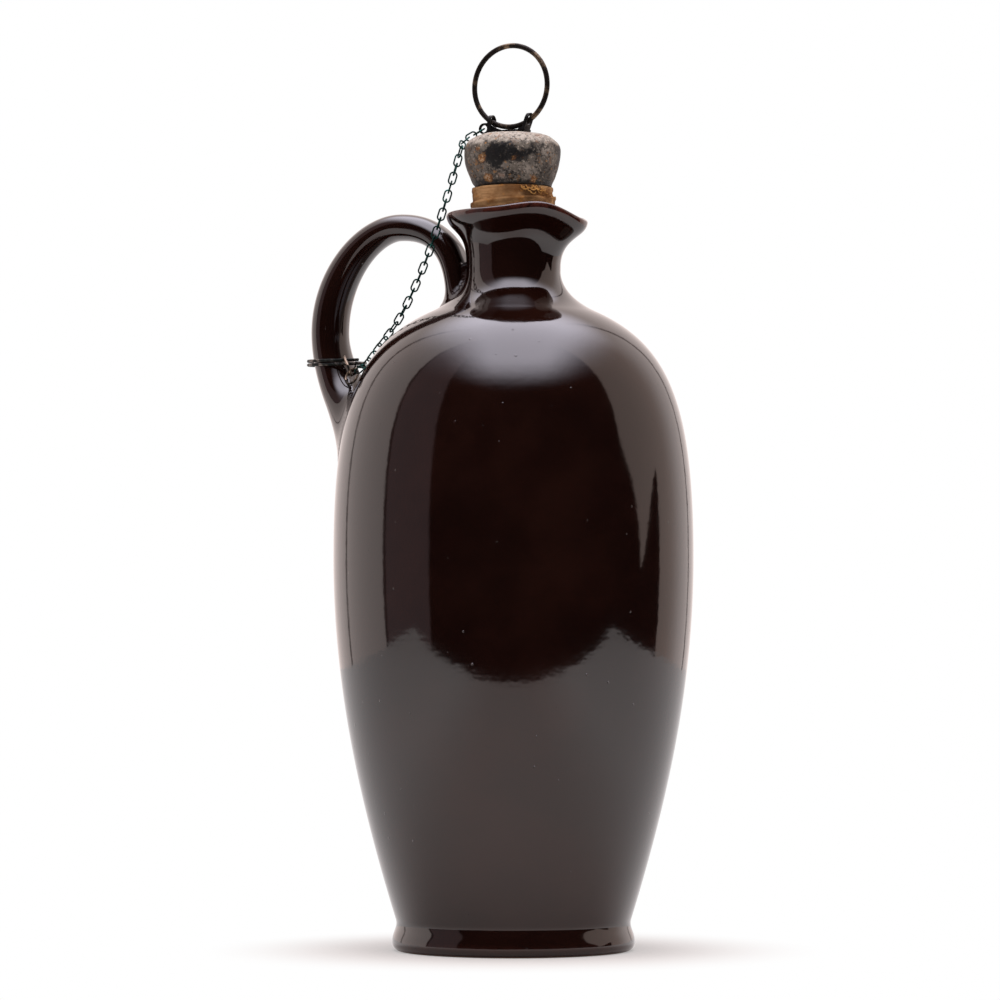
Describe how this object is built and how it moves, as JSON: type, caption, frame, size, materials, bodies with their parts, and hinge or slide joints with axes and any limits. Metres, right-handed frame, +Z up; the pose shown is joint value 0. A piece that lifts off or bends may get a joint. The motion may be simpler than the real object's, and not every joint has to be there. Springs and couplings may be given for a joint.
{
  "type": "pottery whisky flask",
  "caption": "Dark glazed pottery flask with a pulled spout, loop handle and tape-wrapped cork under a metal cap with a pull ring, kept by a fine chain to a split ring on the handle.",
  "frame": {"origin": "on the body's axis, at the flat base", "axes": "+Z up along the body's axis, +X towards the spout, -X towards the handle"},
  "size_m": [0.1087, 0.096, 0.2422],
  "materials": {
    "glaze": "very glossy treacle-brown glaze, almost black",
    "cork": "plain cork",
    "tape": "worn brown cloth tape",
    "cap_metal": "corroded grey metal with pits and rust spots",
    "ring_metal": "dark bronze wire",
    "blackened_metal": "blackened, slightly green wire and strip",
    "steel": "plain steel"
  },
  "bodies": {
    "flask": {"flask_body": "glaze", "handle": "glaze"},
    "stopper": {"stopper_cork": "cork", "cork_wrap": "tape", "stopper_cap": "cap_metal", "ring_bracket": "blackened_metal", "stopper_rod": "steel", "rod_washer": "steel", "rod_nut": "steel", "chain_top_ring": "blackened_metal", "chain_link_01": "blackened_metal", "chain_link_02": "blackened_metal", "chain_link_03": "blackened_metal", "chain_link_04": "blackened_metal", "chain_link_05": "blackened_metal"},
    "pull_ring": {"pull_ring": "ring_metal"},
    "chain": {"chain_link_06": "blackened_metal", "chain_link_07": "blackened_metal", "chain_link_08": "blackened_metal", "chain_link_09": "blackened_metal", "chain_link_10": "blackened_metal", "chain_link_11": "blackened_metal", "chain_link_12": "blackened_metal", "chain_link_13": "blackened_metal", "chain_link_14": "blackened_metal", "chain_link_15": "blackened_metal", "chain_link_16": "blackened_metal", "chain_link_17": "blackened_metal", "chain_link_18": "blackened_metal", "chain_link_19": "blackened_metal", "chain_link_20": "blackened_metal", "chain_link_21": "blackened_metal", "chain_link_22": "blackened_metal", "chain_link_23": "blackened_metal", "chain_link_24": "blackened_metal", "chain_link_25": "blackened_metal", "chain_link_26": "blackened_metal", "chain_link_27": "blackened_metal", "chain_link_28": "blackened_metal", "chain_link_29": "blackened_metal", "chain_link_30": "blackened_metal"},
    "handle_ring": {"handle_ring": "blackened_metal", "hook_link": "blackened_metal", "chain_end_ring": "blackened_metal"}
  },
  "joints": [
    {"name": "stopper_lift", "type": "slide", "parent": "flask", "child": "stopper", "axis": [0, 0, 1], "range_m": [0, 0.018]},
    {"name": "ring_swing", "type": "hinge", "parent": "stopper", "child": "pull_ring", "pos_m": [-0.0008, 0.00004, 0.22131], "axis": [0.9986, -0.0523, 0], "range_deg": [-75, 75]},
    {"name": "chain_swing", "type": "hinge", "parent": "stopper", "child": "chain", "pos_m": [-0.01299, -0.00817, 0.20916], "axis": [-0.4711, -0.0123, -0.882], "range_deg": [-2, 25]},
    {"name": "handle_ring_slide", "type": "slide", "parent": "flask", "child": "handle_ring", "axis": [0, 0, 1], "range_m": [0, 0.018]}
  ],
  "couplings": [
    {"joint": "handle_ring_slide", "follows": "stopper_lift", "ratio": 1}
  ]
}
